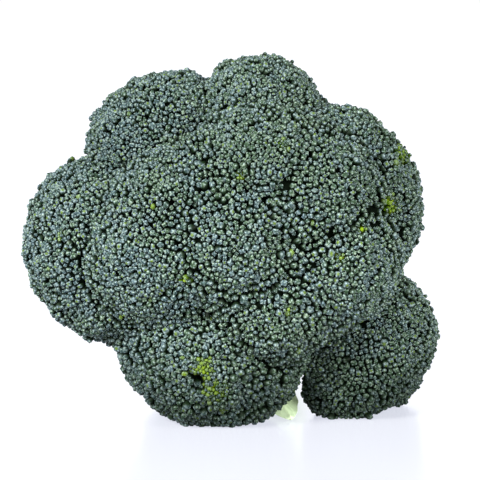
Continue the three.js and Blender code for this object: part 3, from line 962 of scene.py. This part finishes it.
# Painted shade: near black for the shade deep between the buds, on each bud's foot and on the
# flesh.
PAINTED_GAP_SHADE = srgb(2, 5, 2)  # deep between the buds
# The flanks of the buds, green but darkened as painted shade on their sides.
DARK_SHADED_FLANK = srgb(3, 10, 3)
GREEN_SHADED_FLANK = srgb(7, 20, 5)
GREEN_WAX = srgb(43, 60, 46)
BLUE_WAX = srgb(41, 57, 65)
GREY_WAX = srgb(73, 87, 94)
# Pale specks, painted glints on the wax.
PAINTED_GLINT_SPECK = srgb(123, 136, 120)
DARK_SPECK = srgb(14, 26, 12)
# A painted highlight on the sepals' ridges, and painted shade in the creases between them.
PAINTED_RIDGE_HIGHLIGHT = srgb(121, 135, 137)
PAINTED_CREASE_SHADE = srgb(12, 26, 8)
OPENING_TIP = srgb(58, 74, 2)
# Painted shade for the buds near the ground and at the top.
PAINTED_SHADE_GREEN = srgb(4, 14, 3)
LIME_FLANK = srgb(30, 50, 2)
LIME_TIP = srgb(84, 104, 8)
LIME_FOOT = srgb(56, 82, 4)
DARK_LIME_FLESH = srgb(20, 40, 2)
LIME_FLESH = srgb(86, 104, 8)
GREEN_FLESH = srgb(96, 116, 62)
PALE_FLESH = srgb(126, 140, 88)

GREEN_SKIN = srgb(143, 162, 96)
PALE_SKIN = srgb(176, 188, 128)
DEEP_SKIN = srgb(118, 146, 84)
YOUNG_SKIN = srgb(104, 134, 74)
PULP = srgb(205, 212, 160)
PALE_PULP = srgb(226, 228, 190)
PULP_RING = srgb(168, 184, 112)
DRY_RIM = srgb(150, 142, 92)

LEAF_GREEN = srgb(96, 120, 74)
LEAF_SAGE = srgb(126, 146, 100)
LEAF_TIP = srgb(170, 186, 156)
LEAF_VEIN = srgb(172, 190, 150)


# ---- finishes -----------------------------------------------------------------------------
def bud_finish():
    """Grey-green waxy buds: painted shade at the foot, on the flanks and in the creases, and a pale
    bloom on the sepals that is partly a painted highlight.

    The wax is bluer to the left. Painted shade darkens the buds near the ground and a little at the
    top.
    """
    f = Finish("waxy_buds")
    level, ridge, tone = f.parts(f.vector("bud"))
    lime, fringe, glow = f.parts(f.vector("kind"))
    place = f.place()
    x, _, height = f.parts(place)
    speck = f.noise(place, 1300.0, 1.0)

    # The waxy bloom on the tip of a bud, pale partly as a painted highlight, with pale specks as
    # painted glints.
    blue = f.noise(place, 70.0) * 0.6 + tone * 0.4 + x.step(-0.06, 0.03, 0.12, -0.05)
    bloom_and_highlight = f.mix(GREEN_WAX, BLUE_WAX, blue.step(0.35, 0.65))
    bloom_and_highlight = f.mix(bloom_and_highlight, GREY_WAX, tone.step(0.4, 1.0) * 0.8)
    bloom_and_highlight = f.mix(bloom_and_highlight, PAINTED_GLINT_SPECK, speck.step(0.5, 0.64) * 0.45)
    bloom_and_highlight = f.mix(bloom_and_highlight, DARK_SPECK, speck.step(0.36, 0.5, 0.7, 0.0))

    # The bud from its flank, darkened as painted shade, to its tip, with its sepals. Some buds are
    # about to open.
    shaded_flank = f.mix(DARK_SHADED_FLANK, GREEN_SHADED_FLANK, tone)
    # Painted light and shade: the pale bloom is kept to the tip, over a flank darkened as shade.
    colour = f.mix(shaded_flank, bloom_and_highlight, level.step(0.58, 0.95) * (1 - 0.5 * fringe))
    # Painted highlight on the sepals' ridges and painted shade in their creases.
    colour = f.mix(colour, PAINTED_RIDGE_HIGHLIGHT, ridge.step(0.2, 1.0) * level.step(0.7, 0.92) * 0.6)
    crease = (1 - ridge.step(-1.0, -0.3)) * level.step(0.2, 0.6)
    colour = f.mix(colour, PAINTED_CREASE_SHADE, crease * 0.55)
    opening = level.step(0.91, 0.99) * tone.step(0.79, 0.86)
    colour = f.mix(colour, OPENING_TIP, opening * 0.9)

    # Lime buds, painted shade on the foot of every bud, and the lime feet in a patch.
    colour = f.mix(colour, f.mix(LIME_FLANK, LIME_TIP, level), lime)
    colour = f.mix(colour, PAINTED_GAP_SHADE, 1 - level.step(0.05, 0.6))
    colour = f.mix(colour, LIME_FOOT, glow.step(0.2, 0.7) * (1 - level.step(0.4, 0.8)))
    # Painted shade: darker near the ground and a little at the top.
    painted_shade = height.step(0.0, 0.045, 0.6, 0.0) + height.step(0.065, 0.1, 0.0, 0.2)
    return f.finish(
        Base_Color=f.mix(colour, PAINTED_SHADE_GREEN, painted_shade),
        Roughness=0.6,
        Specular_IOR_Level=0.06,
        Normal=f.bump(speck, 0.3, 0.0002),
    )


def flesh_finish():
    """The flesh between the buds: painted near black as the shade in the gaps, lime in a patch,
    pale underneath.
    """
    f = Finish("flesh_and_gap_shade")
    _, under, glow = f.parts(f.vector("kind"))
    streak = f.noise(f.place(), 300.0)
    lime = f.mix(DARK_LIME_FLESH, LIME_FLESH, streak.step(0.35, 0.6))
    # Painted shade: the flesh is near black where it shows between the buds.
    colour = f.mix(PAINTED_GAP_SHADE, lime, glow.step(0.2, 0.7))
    colour = f.mix(colour, f.mix(GREEN_FLESH, PALE_FLESH, streak), under)
    return f.finish(Base_Color=colour, Roughness=0.9, Specular_IOR_Level=0.02)


def stalk_finish():
    """Smooth pale green skin with fine streaks, and a moist cut face with a ring inside it."""
    f = Finish("stalk_skin")
    cut, share, young = f.parts(f.vector("skin"))
    streak = f.noise(f.vector("grain"), 420.0, 4.0, 0.6)
    patch = f.noise(f.place(), 38.0, 3.0)
    skin = f.mix(GREEN_SKIN, PALE_SKIN, streak.step(0.3, 0.7))
    skin = f.mix(skin, DEEP_SKIN, patch.step(0.45, 0.7) * 0.5)
    skin = f.mix(skin, YOUNG_SKIN, young * 0.75)
    face = f.mix(PULP, PALE_PULP, f.noise(f.place(), 900.0, 3.0))
    ring = share.step(0.66, 0.74) * (1 - share.step(0.80, 0.88))
    face = f.mix(face, PULP_RING, ring * 0.8)
    face = f.mix(face, DRY_RIM, share.step(0.93, 1.02) * 0.7)
    return f.finish(
        Base_Color=f.mix(skin, face, cut),
        Roughness=0.42,
        Specular_IOR_Level=0.4,
        Normal=f.bump(streak, 0.25, 0.0004),
    )


def leaf_finish():
    """A thin leaf, sage green and paler to its tip, with lighter veins."""
    f = Finish("pale_leaf")
    _, along, vein = f.parts(f.vector("vein"))
    patch = f.noise(f.place(), 260.0, 3.0)
    blade = f.mix(LEAF_GREEN, LEAF_SAGE, patch.step(0.3, 0.7))
    blade = f.mix(blade, LEAF_TIP, along.step(0.6, 1.0) * 0.7)
    colour = f.mix(blade, LEAF_VEIN, vein * 0.6)
    return f.finish(Base_Color=colour, Roughness=0.6, Specular_IOR_Level=0.2)


finishes = [bud_finish(), flesh_finish()]
for name in FLORETS:
    floret_piece(name, finishes)
stalk_piece(stalk_finish())
leaf_piece(leaf_finish())


# ---- camera, floor and light --------------------------------------------------------------
TARGET = Vector((0.00278, -0.03551, 0.0665))
DISTANCE = 0.760
ELEVATION = math.radians(6)
LENS = 157.9
FLOOR_WIDTH = 60.0
LIGHT_TARGET = Vector((0, 0, 0.06))
# Each light: its place, its width and its power.
LIGHTS = {
    "key": ((-0.85, -0.85, 0.68), 0.4, 80.0),
    "fill": ((0.9, -0.9, 0.5), 0.6, 36.0),
    "front": ((0.25, -1.35, 0.3), 0.5, 17.0),
}
ROOM_LIGHT = 1.02


def place_at(thing, place, target):
    """Puts a new camera or light in the scene at a place, facing a point."""
    placed = bpy.data.objects.new(thing.name, thing)
    bpy.context.scene.collection.objects.link(placed)
    placed.location = place
    placed.rotation_euler = (target - placed.location).to_track_quat("-Z", "Y").to_euler()
    return placed


def build_camera():
    """A camera in front of the crown that looks at its middle from a little above."""
    camera = bpy.data.cameras.new("camera")
    camera.lens = LENS
    camera.sensor_width = 36
    away = DISTANCE * Vector((0, -math.cos(ELEVATION), math.sin(ELEVATION)))
    bpy.context.scene.camera = place_at(camera, TARGET + away, TARGET)


def build_floor():
    """A white plane, wide enough that its edge is out of sight."""
    material = Finish("white_floor").finish(
        Base_Color=(0.1, 0.1, 0.1),
        Roughness=0.25,
        Specular_IOR_Level=0.5,
        Emission_Color=(0.6, 0.62, 0.71),
        Emission_Strength=1.0,
    )
    bpy.ops.mesh.primitive_plane_add(size=FLOOR_WIDTH)
    floor = bpy.context.object
    floor.name = "floor"
    floor.data.materials.append(material)


def build_lights():
    """Three soft square lights and a white room round them."""
    for name, (place, width, power) in LIGHTS.items():
        light = bpy.data.lights.new(name, "AREA")
        light.size = width
        light.energy = power
        place_at(light, place, LIGHT_TARGET)
    room = bpy.data.worlds.new("white_room")
    room.use_nodes = True
    background = room.node_tree.nodes["Background"]
    background.inputs["Color"].default_value = (1, 1, 1, 1)
    background.inputs["Strength"].default_value = ROOM_LIGHT
    bpy.context.scene.world = room
    bpy.context.scene.view_settings.view_transform = "Standard"


build_camera()
build_floor()
build_lights()
